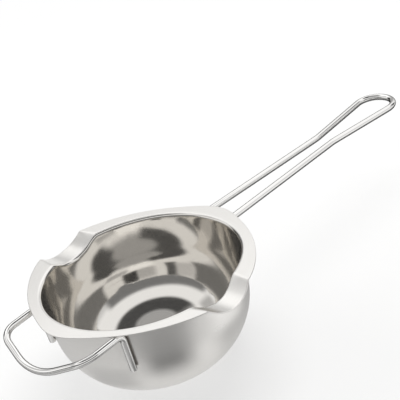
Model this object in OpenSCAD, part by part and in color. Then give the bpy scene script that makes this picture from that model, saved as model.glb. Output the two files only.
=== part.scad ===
// Water-bath melting bowl, the upper vessel of a double boiler.
// Origin: centre of the flat base, on its underside. +Z up, +Y towards the long handle, spouts along +X and -X.
// Millimetres and degrees.

/* [Bowl] */
// Inside radius of the wall where the rolled rim begins
mouth_r = 61.5; // [50:0.5:80]
// Height from the underside of the base to the top of the flange
bowl_h = 64.5; // [57:0.5:80]
// Thickness of the drawn sheet
sheet = 0.8; // [0.6:0.1:1.2]
// Draft of the upper wall from the vertical
draft = 3.8; // [1:0.1:6]
// Depth below the flange top at which the upper wall ends
straight_depth = 24.5; // [20:0.5:30]
// How far the edge of the flat base lies inside the mouth, seen from above
base_inset = 31.9; // [26:0.5:40]
// Outer radius that blends the base into the rounded lower wall
base_blend_r = 8; // [3:0.5:12]
// Radius of the rolled rim under the flange
rim_roll = 1.5; // [0.8:0.1:3]

/* [Flange] */
// Width of the flat flange between its lobes, measured from the mouth
flange_w = 7.8; // [6:0.1:14]
// How far the flange swells out at each handle
handle_lobe = 4.2; // [0:0.1:8]
// Half angle over which a handle lobe fades
handle_lobe_spread = 15.8; // [10:0.1:22]
// How far the flange swells out at each spout
spout_lobe = 7.5; // [3:0.1:12]
// Half angle over which a spout lobe fades
spout_lobe_spread = 30.4; // [22:0.1:36]

/* [Spouts] */
// Width of a spout at the flange, from crease to crease
spout_w = 34; // [24:0.5:40]
// Depth of a spout below the flange
spout_depth = 7.2; // [5:0.1:10]

/* [Wire] */
// Diameter of the handle wire
wire_d = 4.2; // [3.5:0.1:5]
// Centreline radius of the bend from a rod down to its leg
leg_bend_r = 5; // [4:0.5:7]
// Length of each leg from the rod's centreline down the wall
leg_l = 24.5; // [20:0.5:30]
// Gap between a leg and the wall, filled by the weld
weld_gap = 0.2; // [0.1:0.05:0.4]

/* [Long handle] */
// Distance between the rods' centrelines at the wall
long_foot_w = 21.8; // [18:0.2:30]
// Distance between the rods' centrelines at the narrow throat
long_throat_w = 14; // [12:0.2:20]
// Distance from the mouth to the throat
long_throat_reach = 113; // [80:1:140]
// Distance from the mouth to the far end of the hanging loop, on the centreline
long_reach = 177.5; // [160:0.5:240]
// Width of the hanging loop between its centrelines
loop_w = 26.2; // [22:0.5:34]
// Centreline radius of the bend at the throat
throat_bend_r = 30; // [10:1:60]
// Centreline radius of the rounded end of the loop
loop_end_r = 12.5; // [8:0.5:12.5]
// Gap between the rods and the underside of the flange
long_gap = 0.6; // [0.05:0.05:3]
// Angle by which the handle falls below the level of the flange
long_droop = 2; // [0:0.5:6]

/* [Helper handle] */
// Distance between the legs' centrelines
helper_w = 73.4; // [60:0.2:84]
// Distance from the mouth to the corner where the wire turns inwards
helper_shoulder_reach = 21; // [18:0.5:30]
// Distance from the mouth to the point where both slanted runs would meet
helper_tip_reach = 34; // [26:0.5:45]
// How far that point lies below the rods
helper_tip_drop = 11.5; // [0:0.5:20]
// Gap between the rods and the underside of the flange
helper_gap = 0.05; // [0.05:0.05:3]
// Centreline radius of the shoulder bends
helper_shoulder_r = 13; // [8:0.5:14]
// Centreline radius of the bend at the tip
helper_tip_r = 40; // [8:1:44]

/* [Welds] */
// Length of each weld seam
weld_l = 15; // [8:0.5:18]
// Radius of the weld bead about the line where the leg meets the wall
weld_r = 1.3; // [0.8:0.1:1.8]

/* [Hidden] */
$fn = 96;
outline_steps = 180;
arc_sag = 0.02;
wire_sides = 16;
wire_step = 8;
overlap = 0.5;
wire_r = wire_d / 2;
rim_top_r = rim_roll + sheet;
rim_c = [mouth_r + rim_top_r * cos(draft), bowl_h - rim_top_r];
wall_dir = [-sin(draft), -cos(draft)];
wall_in = [-cos(draft), sin(draft)];
wall_run = (straight_depth - rim_top_r + rim_roll * sin(draft)) / cos(draft);
wall_top = rim_c + rim_roll * wall_in;
wall_end = wall_top + wall_run * wall_dir;
blend_c = [mouth_r - base_inset, base_blend_r];
belly_span = wall_end - blend_c;
belly_r = (pow(norm(belly_span), 2) - pow(base_blend_r, 2)) / (-2 * (base_blend_r + belly_span * wall_in));
belly_c = wall_end + belly_r * wall_in;
blend_angle = atan2(blend_c[1] - belly_c[1], blend_c[0] - belly_c[0]);
flange_r = mouth_r + flange_w;
blank_r = flange_r + handle_lobe + spout_lobe + 5 * sheet;
spout_half = spout_w / 2;
trough_r = (pow(spout_half, 2) + pow(spout_depth, 2)) / (2 * spout_depth);
trough_z = bowl_h - spout_depth + trough_r;
leg_out = wire_r + weld_gap;

// Unit vector of v
function unit(v) = v / norm(v);

// The same list from its last item to its first
function reversed(list) = [for (i = [len(list) - 1 : -1 : 0]) list[i]];

// Smallest angle between a direction and the X axis line, 0 to 90
function off_spout(a) = abs(a % 180) > 90 ? 180 - abs(a % 180) : abs(a % 180);

// Radius of the flange's outer edge in direction a, counted from the +X spout
function edge_r(a) =
  flange_r
  + handle_lobe * exp(-pow((90 - off_spout(a)) / handle_lobe_spread, 2))
  + spout_lobe * exp(-pow(off_spout(a) / spout_lobe_spread, 2));

// Outer radius of the upper wall at height z
function wall_r(z) = wall_top[0] - (wall_top[1] - z) * tan(draft);

// Height of a rod's centreline that runs gap below the flange
function rod_z(gap) = bowl_h - sheet - gap - wire_r;

// Distance from the axis to a leg's centreline at height z
function leg_r(z) = wall_r(z) + leg_out / cos(draft);

// Place at height z on the centreline of a leg, given as its X at the rod, its side in Y and the rod's height
function leg_point(leg, z) =
  let (a = asin(leg[0] / leg_r(leg[2])))
  leg_r(z) * [sin(a), leg[1] * cos(a), 0] + [0, 0, z];

// Foot end and bend point of a leg
function leg_run(leg) = [leg_point(leg, leg[2] - leg_l), leg_point(leg, leg[2])];

// Frustum inside the upper wall: its side lies inset deep in the sheet, from height z0 to z1
module wall_core(inset, z0, z1) {
  side = inset / cos(draft);
  translate([0, 0, z0]) cylinder(h = z1 - z0, r1 = wall_r(z0) - side, r2 = wall_r(z1) - side);
}

// Points on an arc about c, from one angle to another, with chords at most arc_sag off the arc
function arc(c, r, from, to) =
  let (steps = max(1, ceil(abs(to - from) / (2 * acos(1 - arc_sag / r)))))
  [for (i = [0 : steps]) let (t = from + (to - from) * i / steps) c + r * [cos(t), sin(t)]];

// Half section of one face of the sheet, from the axis at the base up to the flange, set inset into the metal
function face_points(inset) = concat(
  [[0, inset]],
  arc(blend_c, base_blend_r - inset, -90, blend_angle),
  arc(belly_c, belly_r - inset, blend_angle, -draft),
  arc(rim_c, rim_roll + inset, 180 - draft, 90),
  [[blank_r, bowl_h - sheet + inset]]
);

// Half section of the whole sheet: base, blend, rounded lower wall, upper wall, rolled rim and a round flange
module sheet_section() {
  polygon(concat(face_points(0), reversed(face_points(sheet))));
}

// Upright prism whose sides are the flange's outer edge, from height z0 to z1
module outline_prism(z0, z1) {
  translate([0, 0, z0]) linear_extrude(z1 - z0)
    polygon([for (i = [0 : outline_steps - 1]) let (a = 360 * i / outline_steps) edge_r(a) * [cos(a), sin(a)]]);
}

// Bar of radius r along both spouts, at the centre of the trough's curve
module trough_bar(r) {
  translate([-2 * flange_r, 0, trough_z]) rotate([0, 90, 0]) cylinder(h = 4 * flange_r, r = r);
}

// Both troughs as bent sheet, cut to the flange's outline and open over the mouth
module troughs() {
  difference() {
    intersection() {
      outline_prism(bowl_h - spout_depth - 2 * sheet, bowl_h);
      trough_bar(trough_r + sheet);
    }
    trough_bar(trough_r);
    wall_core(sheet / 2, bowl_h - spout_depth - 3 * sheet, bowl_h + sheet);
  }
}

module bowl() {
  color("gainsboro") {
    difference() {
      intersection() {
        rotate_extrude() sheet_section();
        outline_prism(-sheet, bowl_h + sheet);
      }
      trough_bar(trough_r);
    }
    troughs();
  }
}

// Turns local +Z to direction d and local +X to direction e, at p
module placed(p, d, e) {
  y = cross(d, e);
  multmatrix([
    [e[0], y[0], d[0], p[0]],
    [e[1], y[1], d[1], p[1]],
    [e[2], y[2], d[2], p[2]],
    [0, 0, 0, 1]
  ]) children();
}

// A direction square to d
function square_to(d) = unit(cross(d, abs(d[2]) < 0.9 ? [0, 0, 1] : [0, 1, 0]));

// v turned by t about the unit axis a
function turned(v, a, t) = v * cos(t) + cross(a, v) * sin(t) + a * (a * v) * (1 - cos(t));

// Angle through which a path turns at its point i
function turn(path, i) = acos(unit(path[i] - path[i - 1]) * unit(path[i + 1] - path[i]));

// Ring of a wire: its centre, a side direction, the direction along the wire and its radius
function ring(p, side, d, r) = [for (k = [0 : wire_sides - 1]) p + r * turned(side, d, 360 * k / wire_sides)];

// Rings round the bend at point i and round all later bends, with the side direction carried along
function bends(path, radii, i, side) =
  i > len(path) - 2 ? [] :
  let (
    d = unit(path[i] - path[i - 1]),
    t = turn(path, i),
    a = unit(cross(d, path[i + 1] - path[i])),
    inward = cross(a, d),
    c = path[i] - radii[i] * tan(t / 2) * d + radii[i] * inward,
    steps = ceil(t / wire_step)
  )
  concat(
    [for (k = [0 : steps]) let (e = t * k / steps)
      ring(c + radii[i] * turned(-inward, a, e), turned(side, a, e), turned(d, a, e), wire_r)],
    bends(path, radii, i + 1, turned(side, a, t))
  );

// Rings of the rounded end at p, where d points out of the wire, from the widest ring to the narrowest
function end_rings(p, side, d, along) =
  [for (e = [0 : 30 : 60]) ring(p + wire_r * sin(e) * d, side, along, wire_r * cos(e))];

// Side direction at the end of a path that starts with the given one
function end_side(path, i, side) =
  i > len(path) - 2 ? side :
  end_side(path, i + 1, turned(side, unit(cross(path[i] - path[i - 1], path[i + 1] - path[i])), turn(path, i)));

// Round wire along a path, with a bend of its own radius at each inner point and rounded ends
module wire(path, radii) {
  last = len(path) - 1;
  d0 = unit(path[1] - path[0]);
  d1 = unit(path[last] - path[last - 1]);
  side0 = square_to(d0);
  side1 = end_side(path, 1, side0);
  rings = concat(
    reversed(end_rings(path[0], side0, -d0, d0)),
    bends(path, radii, 1, side0),
    end_rings(path[last], side1, d1, d1)
  );
  n = wire_sides;
  m = len(rings);
  points = concat([path[0] - wire_r * d0], [for (r = rings) each r], [path[last] + wire_r * d1]);
  polyhedron(points, concat(
    [for (k = [0 : n - 1]) [0, 1 + k, 1 + (k + 1) % n]],
    [for (j = [0 : m - 2], k = [0 : n - 1]) each
      let (a = 1 + j * n + k, b = 1 + j * n + (k + 1) % n) [[a, a + n, b + n], [a, b + n, b]]],
    [for (k = [0 : n - 1]) [m * n + 1, (m - 1) * n + 1 + (k + 1) % n, (m - 1) * n + 1 + k]]
  ));
}

// The same path on the other side of the bowl's centre plane, walked backwards
function mirrored(path) = [for (p = reversed(path)) [-p[0], p[1], p[2]]];

// Path of the long handle's right half
long_leg = [long_foot_w / 2, 1, rod_z(long_gap)];
long_throat_y = mouth_r + long_throat_reach;
long_end_y = mouth_r + long_reach;
loop_rise = (loop_w - long_throat_w) / 2 / (long_end_y - loop_end_r - long_throat_y);
loop_corner = loop_w / 2 + loop_rise * loop_end_r;
function long_z(y) = long_leg[2] - (y - leg_r(long_leg[2])) * tan(long_droop);
long_path = concat(leg_run(long_leg), [
  [long_throat_w / 2, long_throat_y, long_z(long_throat_y)],
  [loop_corner, long_end_y, long_z(long_end_y)]
]);
long_radii = [0, leg_bend_r, throat_bend_r, loop_end_r];

module long_handle() {
  color("silver") wire(concat(long_path, mirrored(long_path)), concat(long_radii, reversed(long_radii)));
}

// Path of the helper handle's right half, then its tip
helper_leg = [helper_w / 2, -1, rod_z(helper_gap)];
helper_path = concat(leg_run(helper_leg), [[helper_w / 2, -mouth_r - helper_shoulder_reach, helper_leg[2]]]);
helper_tip = [0, -mouth_r - helper_tip_reach, helper_leg[2] - helper_tip_drop];
helper_radii = [0, leg_bend_r, helper_shoulder_r];

module helper_handle() {
  color("silver") wire(
    concat(helper_path, [helper_tip], mirrored(helper_path)),
    concat(helper_radii, [helper_tip_r], reversed(helper_radii))
  );
}

// Weld seam between the wall and a leg on the +X side
module weld(leg) {
  low = leg_point(leg, wall_end[1] + overlap);
  d = unit(leg_point(leg, bowl_h) - low);
  out = unit(cross(cross(d, [low[0], low[1], 0]), d));
  placed(low - leg_out * out, d, out) linear_extrude(weld_l)
    intersection() {
      difference() {
        circle(weld_r);
        translate([leg_out, 0]) circle(wire_r);
      }
      translate([0, -weld_r]) square([weld_r, 2 * weld_r]);
    }
}

module long_handle_weld_right() { color("lightgray") weld(long_leg); }
module long_handle_weld_left() { color("lightgray") mirror([1, 0, 0]) weld(long_leg); }
module helper_handle_weld_right() { color("lightgray") weld(helper_leg); }
module helper_handle_weld_left() { color("lightgray") mirror([1, 0, 0]) weld(helper_leg); }

bowl();
long_handle();
helper_handle();
long_handle_weld_left();
long_handle_weld_right();
helper_handle_weld_left();
helper_handle_weld_right();
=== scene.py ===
import math

import bpy
from mathutils import Matrix, Vector


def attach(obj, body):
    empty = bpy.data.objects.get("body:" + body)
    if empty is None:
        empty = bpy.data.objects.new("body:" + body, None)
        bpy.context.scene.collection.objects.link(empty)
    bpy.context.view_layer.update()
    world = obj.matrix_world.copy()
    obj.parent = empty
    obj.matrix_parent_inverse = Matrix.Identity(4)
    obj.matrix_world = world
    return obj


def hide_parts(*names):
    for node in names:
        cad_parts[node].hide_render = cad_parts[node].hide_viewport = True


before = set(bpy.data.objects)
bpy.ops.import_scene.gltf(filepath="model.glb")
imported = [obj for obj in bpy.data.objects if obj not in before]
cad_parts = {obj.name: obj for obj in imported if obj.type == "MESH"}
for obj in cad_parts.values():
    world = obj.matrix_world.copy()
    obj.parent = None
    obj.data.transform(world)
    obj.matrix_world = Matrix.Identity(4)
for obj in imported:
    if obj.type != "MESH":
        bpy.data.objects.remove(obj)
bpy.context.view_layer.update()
print("frame loaded, nodes:", ", ".join(sorted(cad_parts)))

mm = 0.001  # sizes in the dictionaries are millimetres, the scene is in metres
noiseRange = (0.3, 0.7)  # nearly all values of a noise texture lie between these


def linearColour(hexText):
    # sRGB hex to the linear values that Blender's sockets take
    parts = [int(hexText[i:i + 2], 16) / 255 for i in (1, 3, 5)]
    return tuple(c / 12.92 if c <= 0.04045 else ((c + 0.055) / 1.055) ** 2.4 for c in parts) + (1.0,)


def addNode(tree, kind, settings=None, inputs=None):
    # a new node; an input that is a socket is linked, anything else is set on the node's own socket
    node = tree.nodes.new(kind)
    for name, value in (settings or {}).items():
        setattr(node, name, value)
    for name, value in (inputs or {}).items():
        if isinstance(value, bpy.types.NodeSocket):
            tree.links.new(value, node.inputs[name])
        else:
            node.inputs[name].default_value = value
    return node


def newMaterial(name):
    material = bpy.data.materials.new(name)
    material.use_nodes = True
    material.node_tree.nodes.clear()
    return material, material.node_tree


def newPiece(name, points, faces, materials, faceMaterials=None):
    mesh = bpy.data.meshes.new(name)
    mesh.from_pydata([p[:] for p in points], [], faces)
    for material in materials:
        mesh.materials.append(material)
    if faceMaterials:
        mesh.polygons.foreach_set("material_index", faceMaterials)
    mesh.polygons.foreach_set("use_smooth", [True] * len(faces))
    mesh.update()
    piece = bpy.data.objects.new(name, mesh)
    bpy.context.scene.collection.objects.link(piece)
    return piece


def smoothStep(value, start, end):
    t = min(max((value - start) / (end - start), 0.0), 1.0)
    return t * t * (3 - 2 * t)


legShadeAndTint = {
    "colour": "#8c8783",       # painted shade: the leg's contact shadow and dark reflection on the wall beside each leg, with the weld's grey-brown heat tint
    "longLegs": 9.73,          # degrees from the handles' middle plane, round the bowl's axis
    "helperLegs": 34.65,
    "beside": (1.75, 3.1),     # degrees from a leg's middle between which it fades; 0.93 is 1 mm of wall
    "low": (36.4, 38.2),       # heights between which it sets in
    "high": (62.0, 63.2),      # and between which it ends, under the flange
}


def addLegShadeAndTint(tree, spread, colour):
    # the painted shade's share of a place follows from its turn away from the nearest leg and from its
    # height
    aside = addNode(tree, "ShaderNodeMath", {"operation": "ABSOLUTE"}, {0: spread["X"]})
    ahead = addNode(tree, "ShaderNodeMath", {"operation": "ABSOLUTE"}, {0: spread["Y"]})
    turn = addNode(tree, "ShaderNodeMath", {"operation": "ARCTAN2"},
                   {0: aside.outputs[0], 1: ahead.outputs[0]})
    legs = addNode(tree, "ShaderNodeMapRange", None,
                   {"Value": spread["Y"], "From Min": -mm, "From Max": mm,
                    "To Min": math.radians(legShadeAndTint["helperLegs"]),
                    "To Max": math.radians(legShadeAndTint["longLegs"])})
    offset = addNode(tree, "ShaderNodeMath", {"operation": "SUBTRACT"},
                     {0: turn.outputs[0], 1: legs.outputs[0]})
    away = addNode(tree, "ShaderNodeMath", {"operation": "ABSOLUTE"}, {0: offset.outputs[0]})
    beside = [math.radians(degrees) for degrees in legShadeAndTint["beside"]]
    low, high = ([height * mm for height in legShadeAndTint[name]] for name in ("low", "high"))
    share = 1.0
    for value, (start, end), first, last in ((away.outputs[0], beside, 1.0, 0.0),
                                             (spread["Z"], low, 0.0, 1.0),
                                             (spread["Z"], high, 1.0, 0.0)):
        step = addNode(tree, "ShaderNodeMapRange", {"interpolation_type": "SMOOTHSTEP"},
                       {"Value": value, "From Min": start, "From Max": end,
                        "To Min": first, "To Max": last})
        share = addNode(tree, "ShaderNodeMath", {"operation": "MULTIPLY"},
                        {0: share, 1: step.outputs[0]}).outputs[0]
    return addNode(tree, "ShaderNodeMix", {"data_type": "RGBA"},
                   {0: share, 6: colour, 7: linearColour(legShadeAndTint["colour"])}).outputs[2]


satin = {
    "colour": "#f7f5f2",       # stainless 18/10 after satin brushing, a hair warmer than neutral
    "shade": "#f0eeea",        # where the brushing lies denser
    "edgeTint": 0.9,           # the gloss darkens a little at a glancing angle
    "roughness": 0.30,
    "roughnessSpread": 0.04,
    "anisotropy": 0.35,        # brushed round the axis, so highlights stretch across the lines
    "brushTurn": 0.25,         # a quarter turn lays the lines round the axis
    "grainAlong": 14.0,        # mm, length of one brush line
    "grainAcross": 0.45,       # mm; the real grit's lines of 0.05 mm are too fine to show, so coarser
    "grainDepth": 0.002,       # mm
    "grainStrength": 0.35,
    "cloudSize": 28.0,         # mm, soft patches of handling
    "cloudRange": (0.35, 0.65),
}


def satinSteel():
    # 0.8 mm stainless sheet, deep drawn, then brushed with a fine belt while it turns:
    # a soft, slightly streaked gloss, with painted shade beside the legs for their contact shadow and dark
    # reflection, and the welds' heat tint
    material, tree = newMaterial("satinStainless")
    place = addNode(tree, "ShaderNodeTexCoord").outputs["Object"]
    run = addNode(tree, "ShaderNodeAttribute", {"attribute_name": "sheetRun"}).outputs["Fac"]
    spread = addNode(tree, "ShaderNodeSeparateXYZ", None, {"Vector": place}).outputs
    along = 1 / (satin["grainAlong"] * mm)
    across = 1 / (satin["grainAcross"] * mm)
    x = addNode(tree, "ShaderNodeMath", {"operation": "MULTIPLY"}, {0: spread["X"], 1: along})
    y = addNode(tree, "ShaderNodeMath", {"operation": "MULTIPLY"}, {0: spread["Y"], 1: along})
    z = addNode(tree, "ShaderNodeMath", {"operation": "MULTIPLY"}, {0: run, 1: across})
    lines = addNode(tree, "ShaderNodeCombineXYZ", None,
                    {"X": x.outputs[0], "Y": y.outputs[0], "Z": z.outputs[0]})
    grain = addNode(tree, "ShaderNodeTexNoise", None,
                    {"Vector": lines.outputs[0], "Scale": 1.0, "Detail": 3.0,
                     "Roughness": 0.6}).outputs["Fac"]
    clouds = addNode(tree, "ShaderNodeTexNoise", None,
                     {"Vector": place, "Scale": 1 / (satin["cloudSize"] * mm), "Detail": 2.0,
                      "Roughness": 0.5}).outputs["Fac"]
    brushed = addNode(tree, "ShaderNodeMix", {"data_type": "RGBA"},
                      {0: grain, 6: linearColour(satin["colour"]), 7: linearColour(satin["shade"])})
    half = satin["roughnessSpread"] / 2
    streaks = addNode(tree, "ShaderNodeMapRange", None,
                      {"Value": grain, "From Min": noiseRange[0], "From Max": noiseRange[1],
                       "To Min": satin["roughness"] - half, "To Max": satin["roughness"] + half})
    handled = addNode(tree, "ShaderNodeMapRange", None,
                      {"Value": clouds, "From Min": satin["cloudRange"][0],
                       "From Max": satin["cloudRange"][1], "To Min": -half / 2, "To Max": half / 2})
    rough = addNode(tree, "ShaderNodeMath", {"operation": "ADD"},
                    {0: streaks.outputs[0], 1: handled.outputs[0]})
    bump = addNode(tree, "ShaderNodeBump", None,
                   {"Strength": satin["grainStrength"], "Distance": satin["grainDepth"] * mm,
                    "Height": grain})
    tangent = addNode(tree, "ShaderNodeTangent", {"direction_type": "RADIAL", "axis": "Z"})
    # its base colour carries painted shade beside each leg, partly the welds' heat tint
    shader = addNode(tree, "ShaderNodeBsdfPrincipled", None,
                     {"Base Color": addLegShadeAndTint(tree, spread, brushed.outputs[2]), "Metallic": 1.0,
                      "Roughness": rough.outputs[0], "Anisotropic": satin["anisotropy"],
                      "Anisotropic Rotation": satin["brushTurn"],
                      "Specular Tint": (satin["edgeTint"],) * 3 + (1,),
                      "Normal": bump.outputs[0], "Tangent": tangent.outputs[0]})
    addNode(tree, "ShaderNodeOutputMaterial", None, {"Surface": shader.outputs[0]})
    return material


mirror = {
    "colour": "#e6e3de",       # polished stainless, a little warm
    "roughness": 0.06,
    "metallic": 0.95,          # fine wiping scratches scatter the rest, so deep corners aren't black
    "wave": 22.0,              # mm, the slow waviness that deep drawing leaves
    "waveDepth": 0.05,         # mm
    "waveStrength": 1.0,
    "hazeSize": 9.0,           # mm, patches where wiping has dulled the polish
    "haze": 0.03,              # the roughness that they add
    "hazeRange": (0.35, 0.7),
}


def mirrorSteel():
    # the same sheet, buffed to a mirror inside and round the rolled rim: sharp but gently wavy reflections
    material, tree = newMaterial("mirrorStainless")
    place = addNode(tree, "ShaderNodeTexCoord").outputs["Object"]
    waves = addNode(tree, "ShaderNodeTexNoise", None,
                    {"Vector": place, "Scale": 1 / (mirror["wave"] * mm), "Detail": 1.0,
                     "Roughness": 0.4})
    haze = addNode(tree, "ShaderNodeTexNoise", None,
                   {"Vector": place, "Scale": 1 / (mirror["hazeSize"] * mm), "Detail": 4.0,
                    "Roughness": 0.6})
    rough = addNode(tree, "ShaderNodeMapRange", None,
                    {"Value": haze.outputs["Fac"], "From Min": mirror["hazeRange"][0],
                     "From Max": mirror["hazeRange"][1], "To Min": mirror["roughness"],
                     "To Max": mirror["roughness"] + mirror["haze"]})
    bump = addNode(tree, "ShaderNodeBump", None,
                   {"Strength": mirror["waveStrength"], "Distance": mirror["waveDepth"] * mm,
                    "Height": waves.outputs["Fac"]})
    shader = addNode(tree, "ShaderNodeBsdfPrincipled", None,
                     {"Base Color": linearColour(mirror["colour"]), "Metallic": mirror["metallic"],
                      "Roughness": rough.outputs[0], "Normal": bump.outputs[0]})
    addNode(tree, "ShaderNodeOutputMaterial", None, {"Surface": shader.outputs[0]})
    return material


wireFinish = {
    "colour": "#f9f8f6",       # electropolished, close to white in a white room
    "edgeTint": 0.05,          # chromium steel takes a darker gloss at a glancing angle
    "roughness": 0.03,
    "roughnessSpread": 0.02,
    "drawLines": 0.5,          # mm across one drawing line
    "lineLength": 30.0,        # mm
    "lineDepth": 0.002,        # mm
    "lineStrength": 0.4,
}


def wireSteel():
    # 4.2 mm stainless wire, cold drawn and tumbled bright: long faint lines along it under a clear polish
    material, tree = newMaterial("brightWire")
    place = addNode(tree, "ShaderNodeTexCoord").outputs["Object"]
    across = 1 / (wireFinish["drawLines"] * mm)
    along = 1 / (wireFinish["lineLength"] * mm)
    stretch = addNode(tree, "ShaderNodeMapping", None, {"Vector": place, "Scale": (across, along, across)})
    lines = addNode(tree, "ShaderNodeTexNoise", None,
                    {"Vector": stretch.outputs[0], "Scale": 1.0, "Detail": 2.0,
                     "Roughness": 0.5}).outputs["Fac"]
    rough = addNode(tree, "ShaderNodeMapRange", None,
                    {"Value": lines, "From Min": noiseRange[0], "From Max": noiseRange[1],
                     "To Min": wireFinish["roughness"],
                     "To Max": wireFinish["roughness"] + wireFinish["roughnessSpread"]})
    bump = addNode(tree, "ShaderNodeBump", None,
                   {"Strength": wireFinish["lineStrength"], "Distance": wireFinish["lineDepth"] * mm,
                    "Height": lines})
    shader = addNode(tree, "ShaderNodeBsdfPrincipled", None,
                     {"Base Color": linearColour(wireFinish["colour"]), "Metallic": 1.0,
                      "Specular Tint": (wireFinish["edgeTint"],) * 3 + (1,),
                      "Roughness": rough.outputs[0], "Normal": bump.outputs[0]})
    addNode(tree, "ShaderNodeOutputMaterial", None, {"Surface": shader.outputs[0]})
    return material


weldFinish = {
    # dark grey: painted shade of the tight contact between leg and wall, over the weld's own steel
    "colour": "#57534f",
    "tint": "#5f5348",         # brown oxide
    "roughness": 0.42,
    "pitSize": 0.9,            # mm
    "pitDepth": 0.05,          # mm
    "pitStrength": 0.6,
}


def weldSteel():
    # resistance weld, only wiped: dull, a little rough, with the brown heat tint left on it; its dark grey
    # is painted shade where the leg meets the wall
    material, tree = newMaterial("tintedShadedWeld")
    place = addNode(tree, "ShaderNodeTexCoord").outputs["Object"]
    pits = addNode(tree, "ShaderNodeTexNoise", None,
                   {"Vector": place, "Scale": 1 / (weldFinish["pitSize"] * mm), "Detail": 3.0,
                    "Roughness": 0.6}).outputs["Fac"]
    colour = addNode(tree, "ShaderNodeMix", {"data_type": "RGBA"},
                     {0: pits, 6: linearColour(weldFinish["colour"]), 7: linearColour(weldFinish["tint"])})
    bump = addNode(tree, "ShaderNodeBump", None,
                   {"Strength": weldFinish["pitStrength"], "Distance": weldFinish["pitDepth"] * mm,
                    "Height": pits})
    shader = addNode(tree, "ShaderNodeBsdfPrincipled", None,
                     {"Base Color": colour.outputs[2], "Metallic": 1.0,
                      "Roughness": weldFinish["roughness"], "Normal": bump.outputs[0]})
    addNode(tree, "ShaderNodeOutputMaterial", None, {"Surface": shader.outputs[0]})
    return material


satinMaterial = satinSteel()
mirrorMaterial = mirrorSteel()
wireMaterial = wireSteel()
weldMaterial = weldSteel()
print("materials made")


# the bowl is one sheet, drawn here from the base's centre up the inside and out over the flange

bowl = {
    "mouth": 61.5,             # inside radius where the rolled rim begins
    "height": 64.5,
    "sheet": 0.8,
    "draft": 3.8,              # degrees off vertical
    "straightDepth": 24.5,     # depth below the flange where the upper wall ends
    "baseInset": 31.9,         # the flat base's edge, measured inwards from the mouth
    "blend": 8.0,              # outer radius between lower wall and base
    "roll": 1.5,               # inner radius of the rolled rim
    "flange": 7.8,             # width between the lobes, from the mouth
    "handleLobe": 4.2,
    "handleLobeSpread": 15.8,  # degrees
    "spoutLobe": 7.5,
    "spoutLobeSpread": 30.4,   # degrees
    "spoutWidth": 34.0,        # crease to crease
    "spoutDepth": 7.2,
    "softAtRim": 3.6,          # how far the crease is rounded where it meets the rolled rim
    "softAtEdge": 1.3,         # and at the flange's outer edge, where it is crisper
    "softTo": 0.85,            # share of the flange's width at which it is as crisp as there
    "edgeRound": 0.22,         # the deburred edge of the flange
    "satinFrom": 0.52,         # share of the rolled rim, from inside, that is mirror polished
    # how finely it is drawn
    "baseRings": (0.08, 0.2, 0.35, 0.5, 0.65, 0.8, 0.92),                   # shares of the flat base
    "flangeRings": (0.04, 0.1, 0.2, 0.35, 0.5, 0.65, 0.8, 0.9, 0.96, 1.0),  # shares of the flange
    "blendSteps": 10,
    "bellySteps": 26,
    "wallSteps": 16,
    "rollSteps": 14,
    "edgeSteps": 4,            # in each of the flange edge's two roundings
    "creaseSteps": (0.06, 0.14, 0.25, 0.4, 0.6, 0.85, 1.2, 1.7, 2.4, 3.2, 4.0),  # on both sides of a crease
    "spoutSteps": 18,          # between a spout's centre line and the first of those
    "sideSteps": 44,           # between the last of those and the handles
    "fanOut": (24.0, 48.0),    # between these distances from the spouts' line the columns turn radial
}

rollOuter = bowl["roll"] + bowl["sheet"]
draft = math.radians(bowl["draft"])
rimCentre = (bowl["mouth"] + rollOuter * math.cos(draft), bowl["height"] - rollOuter)
wallTop = (rimCentre[0] - bowl["roll"] * math.cos(draft), rimCentre[1] + bowl["roll"] * math.sin(draft))
wallRun = (bowl["straightDepth"] - rollOuter + bowl["roll"] * math.sin(draft)) / math.cos(draft)
wallEnd = (wallTop[0] - wallRun * math.sin(draft), wallTop[1] - wallRun * math.cos(draft))
blendCentre = (bowl["mouth"] - bowl["baseInset"], bowl["blend"])
spanX, spanZ = wallEnd[0] - blendCentre[0], wallEnd[1] - blendCentre[1]
belly = ((spanX ** 2 + spanZ ** 2 - bowl["blend"] ** 2)
         / (2 * (spanX * math.cos(draft) - spanZ * math.sin(draft) - bowl["blend"])))
bellyCentre = (wallEnd[0] - belly * math.cos(draft), wallEnd[1] + belly * math.sin(draft))
blendEnd = math.atan2(blendCentre[1] - bellyCentre[1], blendCentre[0] - bellyCentre[0])
troughRadius = ((bowl["spoutWidth"] / 2) ** 2 + bowl["spoutDepth"] ** 2) / (2 * bowl["spoutDepth"])
troughReach = 0.97 * troughRadius  # past the soft crease, and just short of where the trough's arc ends


def flangeEdge(angle):
    # plan radius of the flange's outer edge; the spouts lie at 0 and 180 degrees
    off = math.degrees(angle) % 180
    off = min(off, 180 - off)
    return (bowl["mouth"] + bowl["flange"]
            + bowl["handleLobe"] * math.exp(-((90 - off) / bowl["handleLobeSpread"]) ** 2)
            + bowl["spoutLobe"] * math.exp(-(off / bowl["spoutLobeSpread"]) ** 2))


def spoutDip(y, softness):
    # how far the flange lies below its own level at this distance from the spouts' centre line
    if abs(y) > troughReach:
        return 0.0
    trough = bowl["spoutDepth"] - troughRadius + math.sqrt(troughRadius ** 2 - y * y)
    near = max(softness - abs(trough), 0.0) / softness
    return max(trough, 0.0) + near * near * softness / 4


def arcPoints(centre, radius, start, end, steps):
    turns = [start + (end - start) * i / steps for i in range(steps + 1)]
    return [(centre[0] + radius * math.cos(t), centre[1] + radius * math.sin(t)) for t in turns]


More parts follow.
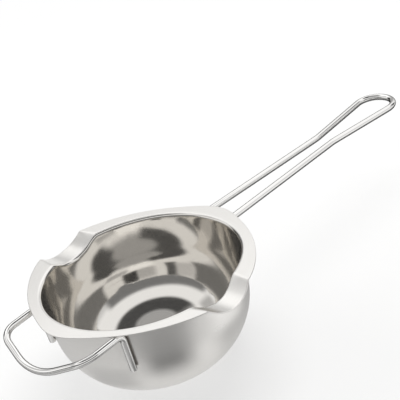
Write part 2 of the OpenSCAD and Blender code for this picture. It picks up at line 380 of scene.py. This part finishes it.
def sheetProfile():
    # inner face as (radius, height, share of the spout's dip), up to the top of the rolled rim
    thick = bowl["sheet"]
    flat = [(blendCentre[0] * share, thick) for share in bowl["baseRings"]]
    blend = arcPoints(blendCentre, bowl["blend"] - thick, -math.pi / 2, blendEnd, bowl["blendSteps"])
    lower = arcPoints(bellyCentre, belly - thick, blendEnd, -draft, bowl["bellySteps"])
    roll = arcPoints(rimCentre, rollOuter, math.pi - draft, math.pi / 2, bowl["rollSteps"])
    low, high = lower[-1], roll[0]
    steps = bowl["wallSteps"]
    wall = [(low[0] + (high[0] - low[0]) * i / steps, low[1] + (high[1] - low[1]) * i / steps)
            for i in range(1, steps)]
    rows = [(r, z, 0.0) for r, z in flat + blend + lower[1:]]
    rows += [(r, z, (z - low[1]) / (high[1] - low[1])) for r, z in wall]
    rows += [(r, z, 1.0) for r, z in roll]
    return rows, len(rows) - len(roll)


def columnAngles():
    # columns are close together in the spouts and closest at their creases
    crease = bowl["spoutWidth"] / 2
    beside = bowl["creaseSteps"]
    inner = crease - beside[-1]
    ys = [i * inner / bowl["spoutSteps"] for i in range(bowl["spoutSteps"])]
    ys += [crease - s for s in reversed(beside)] + [crease] + [crease + s for s in beside]
    half = [math.asin(y / rimCentre[0]) for y in ys]
    last = half[-1]
    count = bowl["sideSteps"]
    quarter = half + [last + (math.pi / 2 - last) * i / count for i in range(1, count + 1)]
    top = quarter + [math.pi - a for a in reversed(quarter[:-1])]
    return top + [a + math.pi for a in top[1:-1]]


def edgeAngle(angle):
    # inside a spout the flange's columns run straight out, elsewhere they run radially
    y = rimCentre[0] * abs(math.sin(angle))
    weight = 1 - smoothStep(y, *bowl["fanOut"])
    quadrant = math.asin(abs(math.sin(angle)))
    straight = quadrant
    settlingRounds = 12  # the edge's radius depends on the angle that is looked for
    for _ in range(settlingRounds):
        straight = math.asin(min(y / flangeEdge(straight), 1.0))
    blended = weight * straight + (1 - weight) * quadrant
    onSpoutLine = abs(math.sin(angle)) <= 1e-9
    side = 1 if onSpoutLine else math.copysign(1, math.sin(angle))
    return side * blended if math.cos(angle) > 0 else math.pi - side * blended


def bowlColumn(angle, rows):
    # one column of the inner face, then the flange from the rim to its outer edge
    c, s = math.cos(angle), math.sin(angle)
    dip = spoutDip(rimCentre[0] * s, bowl["softAtRim"])
    points = []
    for r, z, share in rows:
        radius = r - share * dip * math.tan(draft)
        points.append(Vector((radius * c, radius * s, z - share * dip)))
    outAngle = edgeAngle(angle)
    reach = flangeEdge(outAngle) - bowl["edgeRound"]
    rim = Vector(points[-1][:2])
    edge = Vector((reach * math.cos(outAngle), reach * math.sin(outAngle)))
    sharpening = bowl["softAtEdge"] - bowl["softAtRim"]
    for share in bowl["flangeRings"]:
        flat = rim.lerp(edge, share)
        softness = bowl["softAtRim"] + sharpening * smoothStep(share, 0.0, bowl["softTo"])
        points.append(Vector((flat.x, flat.y, bowl["height"] - spoutDip(flat.y, softness))))
    return points


def makeBowl():
    rows, rollStart = sheetProfile()
    angles = columnAngles()
    top = [bowlColumn(a, rows) for a in angles]
    n, m = len(top), len(top[0])  # columns round the bowl, and points in each so far

    def normalAt(j, i):
        across = top[(j + 1) % n][i] - top[j - 1][i]
        up = top[j][min(i + 1, m - 1)] - top[j][max(i - 1, 0)]
        return across.cross(up).normalized()

    normals = [[-normalAt(j, i) for i in range(m)] for j in range(n)]
    thick, small, steps = bowl["sheet"], bowl["edgeRound"], bowl["edgeSteps"]
    columns = []
    for j in range(n):
        outward = top[j][m - 1] - top[j][m - 2]
        outward.z = 0
        along = top[(j + 1) % n][m - 1] - top[j - 1][m - 1]
        along.z = 0
        side = Vector((along.y, -along.x, 0)).normalized()
        if side.dot(outward) < 0:
            side = -side
        normal = normals[j][m - 1]
        rim = []
        # the upper and then the lower rounding of the flange's edge
        for depth, first, last in ((small, 1, steps), (thick - small, steps, 2 * steps)):
            for step in range(first, last + 1):
                t = step * math.pi / (2 * steps)
                around = math.cos(t) * normal + math.sin(t) * side
                rim.append(top[j][m - 1] - normal * depth + small * around)
        under = [top[j][i] - normals[j][i] * thick for i in reversed(range(m - 1))]
        columns.append(top[j] + rim + under)
    k = len(columns[0])
    points = [p * mm for column in columns for p in column]

    # the length along the sheet is measured at the long handle, where no spout stretches it
    plain = columns[n // 4]
    runs = [0.0]
    run = 0.0
    for i in range(1, k):
        run += (plain[i] - plain[i - 1]).length
        runs.append(run * mm)

    satinFace, mirrorFace = 0, 1
    mirrorEnd = rollStart + round((len(rows) - rollStart) * bowl["satinFrom"])
    faces, kinds = [], []
    for j in range(n):
        nextJ = (j + 1) % n
        for i in range(k - 1):
            faces.append((j * k + i, nextJ * k + i, nextJ * k + i + 1, j * k + i + 1))
            kinds.append(mirrorFace if i < mirrorEnd else satinFace)
    centreIn, centreOut = len(points), len(points) + 1
    points += [Vector((0, 0, thick * mm)), Vector((0, 0, 0))]
    for j in range(n):
        nextJ = (j + 1) % n
        faces.append((centreIn, nextJ * k, j * k))
        kinds.append(mirrorFace)
        faces.append((centreOut, j * k + k - 1, nextJ * k + k - 1))
        kinds.append(satinFace)
    piece = newPiece("bowlSheet", points, faces, [satinMaterial, mirrorMaterial], kinds)
    attribute = piece.data.attributes.new("sheetRun", "FLOAT", "POINT")
    attribute.data.foreach_set("value", runs * n + [0.0, runs[-1]])
    return piece


bowlPiece = makeBowl()
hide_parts("bowl")
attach(bowlPiece, "root")
print("bowl made,", len(bowlPiece.data.polygons), "faces")


wire = {
    "diameter": 4.2,
    "sides": 28,
    "bendStep": 4.0,           # degrees between rings in a bend
    "straightStep": 6.0,       # at least this far between rings in a straight run
    "legBend": 5.0,            # centreline radius where a rod turns down into its leg
    "leg": 24.5,               # length of a leg from the rod's centreline down the wall
    "gap": 0.2,                # between leg and wall, filled by the weld
    "endRound": 0.7,           # the tumbled edge of a cut end
    "endSteps": 5,             # and the rings in it
    "endReach": 1.5,           # how far a cut end stands past the leg's end point
    "endBulge": (0.02, 0.35),  # how far its middle stands out more, and that middle's share of the flat
}

longHandle = {
    "feet": 21.8,              # between the rods at the wall
    "throat": 14.0,
    "throatReach": 113.0,      # from the mouth
    "reach": 177.5,            # to the far end of the loop
    "loop": 26.2,
    "throatBend": 30.0,
    "loopBend": 12.5,
    "gap": 0.6,                # under the flange
    "droop": 2.0,              # degrees
}

helperHandle = {
    "width": 73.4,
    "shoulderReach": 21.0,
    "tipReach": 34.0,
    "tipDrop": 11.5,
    "gap": 0.05,               # under the flange
    "shoulderBend": 13.0,
    "tipBend": 40.0,
}

wireRadius = wire["diameter"] / 2
legOut = wireRadius + wire["gap"]


def legRadius(z):
    # distance of a leg's centreline from the bowl's axis at this height, as it follows the wall
    return wallTop[0] - (wallTop[1] - z) * math.tan(draft) + legOut / math.cos(draft)


def rodHeight(gap):
    return bowl["height"] - bowl["sheet"] - gap - wireRadius


def legPoint(x, side, rod, z):
    # a leg lies in one plane through the bowl's axis and meets its rod at x
    turn = math.asin(x / legRadius(rod))
    return Vector((legRadius(z) * math.sin(turn), side * legRadius(z) * math.cos(turn), z))


def sweepWire(name, path, bends):
    # round wire along a path with a bend of its own radius at each inner point and cut, rounded ends
    rings = []

    def ring(centre, direction, side, radius):
        other = direction.cross(side)
        rings.append([centre + radius * (math.cos(t) * side + math.sin(t) * other)
                      for t in (2 * math.pi * i / wire["sides"] for i in range(wire["sides"]))])

    def straightRings(start, end, direction, side):
        pieces = max(int((end - start).length // wire["straightStep"]), 1)
        for p in range(1, pieces):
            ring(start.lerp(end, p / pieces), direction, side, wireRadius)

    def endRings(point, outward, direction, side, reverse):
        small = wire["endRound"]
        flat = point + outward * (wire["endReach"] - small)
        steps = []
        for i in range(wire["endSteps"] + 1):
            t = math.pi / 2 * i / wire["endSteps"]
            steps.append((flat + outward * small * math.sin(t), wireRadius - small + small * math.cos(t)))
        bulge, share = wire["endBulge"]
        steps.append((point + outward * (wire["endReach"] + bulge), share * (wireRadius - small)))
        for centre, radius in (reversed(steps) if reverse else steps):
            ring(centre, direction, side, radius)

    first = (path[1] - path[0]).normalized()
    nearlyUpright = abs(first.z) >= 0.9
    side = first.cross(Vector((0, 1, 0)) if nearlyUpright else Vector((0, 0, 1))).normalized()
    endRings(path[0], -first, first, side, True)
    here = path[0]
    for i in range(1, len(path) - 1):
        before = (path[i] - path[i - 1]).normalized()
        after = (path[i + 1] - path[i]).normalized()
        turn = before.angle(after)
        axis = before.cross(after).normalized()
        inward = axis.cross(before)
        bend = bends[i]
        start = path[i] - before * bend * math.tan(turn / 2)
        straightRings(here, start, before, side)
        centre = start + inward * bend
        steps = max(math.ceil(math.degrees(turn) / wire["bendStep"]), 2)
        for k in range(steps + 1):
            spin = Matrix.Rotation(turn * k / steps, 3, axis)
            ring(centre - spin @ inward * bend, spin @ before, spin @ side, wireRadius)
        side = Matrix.Rotation(turn, 3, axis) @ side
        here = path[i] + after * bend * math.tan(turn / 2)
    last = (path[-1] - path[-2]).normalized()
    straightRings(here, path[-1], last, side)
    endRings(path[-1], last, last, side, False)

    n, m = wire["sides"], len(rings)  # points in each ring, and rings
    points = [p * mm for r in rings for p in r]
    faces = [(j * n + i, j * n + (i + 1) % n, (j + 1) * n + (i + 1) % n, (j + 1) * n + i)
             for j in range(m - 1) for i in range(n)]
    faces.append(tuple(reversed(range(n))))
    faces.append(tuple((m - 1) * n + i for i in range(n)))
    return newPiece(name, points, faces, [wireMaterial])


def mirroredPath(path):
    return [Vector((-p.x, p.y, p.z)) for p in reversed(path)]


def makeLongHandle():
    size = longHandle
    rod = rodHeight(size["gap"])
    foot = size["feet"] / 2
    throatY = bowl["mouth"] + size["throatReach"]
    endY = bowl["mouth"] + size["reach"]
    rise = (size["loop"] - size["throat"]) / 2 / (endY - size["loopBend"] - throatY)
    corner = size["loop"] / 2 + rise * size["loopBend"]

    def fall(y):
        return rod - (y - legRadius(rod)) * math.tan(math.radians(size["droop"]))

    half = [legPoint(foot, 1, rod, rod - wire["leg"]), legPoint(foot, 1, rod, rod),
            Vector((size["throat"] / 2, throatY, fall(throatY))), Vector((corner, endY, fall(endY)))]
    bends = [0, wire["legBend"], size["throatBend"], size["loopBend"]]
    return sweepWire("longHandleWire", half + mirroredPath(half), bends + bends[::-1])


def makeHelperHandle():
    size = helperHandle
    rod = rodHeight(size["gap"])
    foot = size["width"] / 2
    half = [legPoint(foot, -1, rod, rod - wire["leg"]), legPoint(foot, -1, rod, rod),
            Vector((foot, -bowl["mouth"] - size["shoulderReach"], rod))]
    tip = Vector((0, -bowl["mouth"] - size["tipReach"], rod - size["tipDrop"]))
    bends = [0, wire["legBend"], size["shoulderBend"]]
    return sweepWire("helperHandleWire", half + [tip] + mirroredPath(half),
                     bends + [size["tipBend"]] + bends[::-1])


for piece, node in ((makeLongHandle(), "long_handle"), (makeHelperHandle(), "helper_handle")):
    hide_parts(node)
    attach(piece, "root")
    print(piece.name, "made,", len(piece.data.polygons), "faces")

for name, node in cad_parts.items():
    if "weld" in name:
        node.data.materials.clear()
        node.data.materials.append(weldMaterial)
print("welds dressed")


studio = {
    "floorColour": "#f4f4f3",
    "floorSize": 4.0,          # m
    "floorGlow": 0.58,         # share of plain white in the floor near the bowl; the rest shows its shadow
    "glowFrom": 0.09,          # m from the bowl's middle, where the white begins to take over
    "glowAll": 0.75,           # m, from here on the floor is as white as the wall, so no horizon shows
    "roomLight": 0.55,
    "frontAzimuth": 50.8,      # degrees, the side of the room that the camera stands on
    "lampsAimAt": (0, 0, 0.04),  # m
}
white = (1, 1, 1, 1)


def addBackdropShare(tree, share):
    # camera, mirror and glass rays all find the white backdrop
    path = addNode(tree, "ShaderNodeLightPath").outputs
    either = addNode(tree, "ShaderNodeMath", {"operation": "MAXIMUM"},
                     {0: path["Is Camera Ray"], 1: path["Is Glossy Ray"]})
    seen = addNode(tree, "ShaderNodeMath", {"operation": "MAXIMUM"},
                   {0: either.outputs[0], 1: path["Is Transmission Ray"]})
    return addNode(tree, "ShaderNodeMath", {"operation": "MULTIPLY"},
                   {0: seen.outputs[0], 1: share}).outputs[0]


def makeFloor():
    # matt white paper sweep, so the object's shadow stays soft
    material, tree = newMaterial("paperSweep")
    place = addNode(tree, "ShaderNodeTexCoord").outputs["Object"]
    away = addNode(tree, "ShaderNodeVectorMath", {"operation": "LENGTH"}, {0: place})
    glow = addNode(tree, "ShaderNodeMapRange", {"interpolation_type": "SMOOTHSTEP"},
                   {"Value": away.outputs["Value"], "From Min": studio["glowFrom"],
                    "From Max": studio["glowAll"], "To Min": studio["floorGlow"], "To Max": 1.0})
    share = addBackdropShare(tree, glow.outputs[0])
    paint = addNode(tree, "ShaderNodeBsdfDiffuse", None, {"Color": linearColour(studio["floorColour"])})
    plain = addNode(tree, "ShaderNodeEmission", None, {"Color": white, "Strength": 1.0})
    mix = addNode(tree, "ShaderNodeMixShader", None, {0: share, 1: paint.outputs[0], 2: plain.outputs[0]})
    addNode(tree, "ShaderNodeOutputMaterial", None, {"Surface": mix.outputs[0]})
    half = studio["floorSize"] / 2
    corners = [Vector((-half, -half, 0)), Vector((half, -half, 0)),
               Vector((half, half, 0)), Vector((-half, half, 0))]
    floor = newPiece("paperSweepSheet", corners, [(0, 1, 2, 3)], [material])


def makeWorld():
    world = bpy.data.worlds.new("studioWorld")
    bpy.context.scene.world = world
    world.use_nodes = True
    tree = world.node_tree
    tree.nodes.clear()
    share = addBackdropShare(tree, 1.0)
    room = addNode(tree, "ShaderNodeBackground", None, {"Color": white, "Strength": studio["roomLight"]})
    plain = addNode(tree, "ShaderNodeBackground", None, {"Color": white, "Strength": 1.0})
    mix = addNode(tree, "ShaderNodeMixShader", None, {0: share, 1: room.outputs[0], 2: plain.outputs[0]})
    addNode(tree, "ShaderNodeOutputWorld", None, {"Surface": mix.outputs[0]})


# places and sizes in metres, power in watts
softboxes = {
    "overheadSoftbox": {"place": (-0.2, 0.5, 1.2), "size": (1.0, 0.8), "power": 9.0},
    "leftSoftbox": {"place": (-1.1, -0.3, 0.6), "size": (0.8, 0.8), "power": 5.0},
}


def addSoftbox(name, box):
    data = bpy.data.lights.new(name, "AREA")
    data.shape = "RECTANGLE"
    data.size, data.size_y = box["size"]
    data.energy = box["power"]
    lamp = bpy.data.objects.new(name, data)
    lamp.location = box["place"]
    aim = Vector(studio["lampsAimAt"]) - Vector(box["place"])
    lamp.rotation_euler = aim.to_track_quat("-Z", "Y").to_euler()
    lamp.visible_glossy = False  # the metal shows the white room and the felts, not the lamp's outline
    bpy.context.scene.collection.objects.link(lamp)


# grey felts and lit white cards that a photographer hangs round bright metal; only the metal shows them
# round: degrees from the camera's side towards its right; up: degrees
# fade: share of each range at its borders; tone: 0 is black, 1 the backdrop's white, more a lit card
curtains = {
    "roomCurtain": {"round": (-90, 68), "up": (-2, 38), "fade": (0.08, 0.15), "tone": 0.2},
    "gapCurtain": {"round": (56, 112), "up": (-2, 34), "fade": (0.25, 0.2), "tone": 0.7},
    "rightCurtain": {"round": (96, 130), "up": (-2, 38), "fade": (0.2, 0.15), "tone": 0.1},
    "leftCurtain": {"round": (-135, -72), "up": (-2, 17), "fade": (0.15, 0.3), "tone": 0.4},
    "sideCurtain": {"round": (-151, -84), "up": (30, 51), "fade": (0.2, 0.3), "tone": 0.53},
    "backCurtain": {"round": (-172, -130), "up": (-10, 33), "fade": (0.2, 0.2), "tone": 0.02},
    "horizonCurtain": {"round": (-216, -142), "up": (5, 31), "fade": (0.2, 0.3), "tone": 0.58},
    "mouthCurtain": {"round": (-110, 170), "up": (51, 75), "fade": (0.12, 0.2), "tone": 0.06},
    "overheadCurtain": {"round": (-200, 200), "up": (57, 112), "fade": (0.02, 0.25), "tone": 0.42},
    "litCurtain": {"round": (-218, -138), "up": (31, 60), "fade": (0.2, 0.2), "tone": 1.25},
}

# and those on the floor, beside the bowl, in front of it and under the long handle; away: mm
floorFelts = {
    "leftFelt": {"round": (-150, -22), "away": (40, 160), "fade": (0.28, 0.3), "tone": 0.64},
    "farLeftFelt": {"round": (-165, -36), "away": (115, 700), "fade": (0.12, 0.1), "tone": 0.33},
    "helperFelt": {"round": (-80, -12), "away": (40, 93), "fade": (0.33, 0.3), "tone": 0.53},
    "rightFelt": {"round": (33, 170), "away": (24, 250), "fade": (0.2, 0.25), "tone": 0.48},
    "rightCard": {"round": (36, 98), "away": (78, 165), "fade": (0.35, 0.4), "tone": 1.04},
    "frontFelt": {"round": (-60, 60), "away": (62, 300), "fade": (0.35, 0.3), "tone": 0.3},
    # painted shadow: a dark sheet that only the metal sees, in place of the floor's shade under the flange
    # in front of the bowl
    "bowlShadowSheet": {"round": (-26, 33), "away": (48, 128), "fade": (0.4, 0.4), "tone": 0.21},
    "handleFelt": {"round": (100, 185), "away": (80, 420), "fade": (0.2, 0.2), "tone": 0.15},
}

feltLayout = {
    "curtainAway": 1.6,        # m
    "curtainStep": 0.01,       # m, each further curtain hangs this much further out
    "floorStep": 1.0,          # mm, and each further felt on the floor lies this much higher
    "columns": 48,             # faces of a felt round and across
    "rows": 16,
}


def feltMaterial(name, tone):
    # felt or matt card: no gloss, and its borders fade so that no hard edge shows in the metal
    material, tree = newMaterial(name + "Grey")
    cover = addNode(tree, "ShaderNodeAttribute", {"attribute_name": "cover"}).outputs["Fac"]
    clear = addNode(tree, "ShaderNodeBsdfTransparent")
    felt = addNode(tree, "ShaderNodeEmission", None, {"Color": white, "Strength": tone})
    mix = addNode(tree, "ShaderNodeMixShader", None, {0: cover, 1: clear.outputs[0], 2: felt.outputs[0]})
    addNode(tree, "ShaderNodeOutputMaterial", None, {"Surface": mix.outputs[0]})
    return material


def hangFelt(name, felt, across, placeAt, layer):
    # a grid over both ranges, with the felt's cover kept at each point
    columns, rows = feltLayout["columns"], feltLayout["rows"]
    points, covers = [], []
    for j in range(rows + 1):
        for i in range(columns + 1):
            u, v = i / columns, j / rows
            turn = felt["round"][0] + u * (felt["round"][1] - felt["round"][0])
            points.append(placeAt(turn, across[0] + v * (across[1] - across[0]), layer))
            covers.append(smoothStep(min(u, 1 - u), 0.0, felt["fade"][0])
                          * smoothStep(min(v, 1 - v), 0.0, felt["fade"][1]))
    wide = columns + 1
    faces = [(j * wide + i, j * wide + i + 1, (j + 1) * wide + i + 1, (j + 1) * wide + i)
             for j in range(rows) for i in range(columns)]
    piece = newPiece(name, points, faces, [feltMaterial(name, felt["tone"])])
    piece.data.attributes.new("cover", "FLOAT", "POINT").data.foreach_set("value", covers)
    for rays in ("camera", "diffuse", "transmission", "volume_scatter", "shadow"):
        setattr(piece, "visible_" + rays, False)


def roundFromFront(degrees):
    turn = math.radians(studio["frontAzimuth"] + degrees)
    return Vector((math.sin(turn), -math.cos(turn), 0))


def inRoom(turn, up, layer):
    rise = math.radians(up)
    away = feltLayout["curtainAway"] + feltLayout["curtainStep"] * layer
    return away * (math.cos(rise) * roundFromFront(turn) + Vector((0, 0, math.sin(rise))))


def onFloor(turn, away, layer):
    return (away * roundFromFront(turn) + Vector((0, 0, feltLayout["floorStep"] * layer))) * mm


def makeFelts():
    # each felt has its own layer, so that none lies in another's surface
    for layer, (name, felt) in enumerate(curtains.items(), 1):
        hangFelt(name, felt, felt["up"], inRoom, layer)
    for layer, (name, felt) in enumerate(floorFelts.items(), 1):
        hangFelt(name, felt, felt["away"], onFloor, layer)


makeFloor()
makeWorld()
makeFelts()
for name, box in softboxes.items():
    addSoftbox(name, box)
print("studio made")


camera = {
    "azimuth": 50.779,         # degrees from the helper handle's side towards the right spout
    "elevation": 27.906,
    "roll": -15.892,
    "distance": 1022.9,        # mm from the middle of the mouth
    "right": 35.71,            # mm, the middle of the mouth lies this far left of the picture's centre
    "up": 41.03,               # and this far below it
    "lens": 154.3,
    "sensor": 36.0,
    "clipStart": 10.0,         # mm
}


def makeCamera():
    azimuth, elevation = math.radians(camera["azimuth"]), math.radians(camera["elevation"])
    back = Vector((math.sin(azimuth) * math.cos(elevation), -math.cos(azimuth) * math.cos(elevation),
                   math.sin(elevation)))
    level = Vector((0, 0, 1)).cross(back).normalized()
    upright = back.cross(level)
    roll = math.radians(camera["roll"])
    right = math.cos(roll) * level + math.sin(roll) * upright
    up = math.cos(roll) * upright - math.sin(roll) * level
    mouthCentre = Vector((0, 0, bowl["height"]))
    place = mouthCentre + camera["distance"] * back + camera["right"] * right + camera["up"] * up
    data = bpy.data.cameras.new("productCamera")
    data.lens = camera["lens"]
    data.sensor_width = camera["sensor"]
    data.clip_start = camera["clipStart"] * mm
    viewer = bpy.data.objects.new("productCamera", data)
    viewer.matrix_world = Matrix.Translation(place * mm) @ Matrix((right, up, back)).transposed().to_4x4()
    bpy.context.scene.collection.objects.link(viewer)
    bpy.context.scene.camera = viewer


makeCamera()
bpy.context.scene.view_settings.view_transform = "Standard"
print("camera placed")
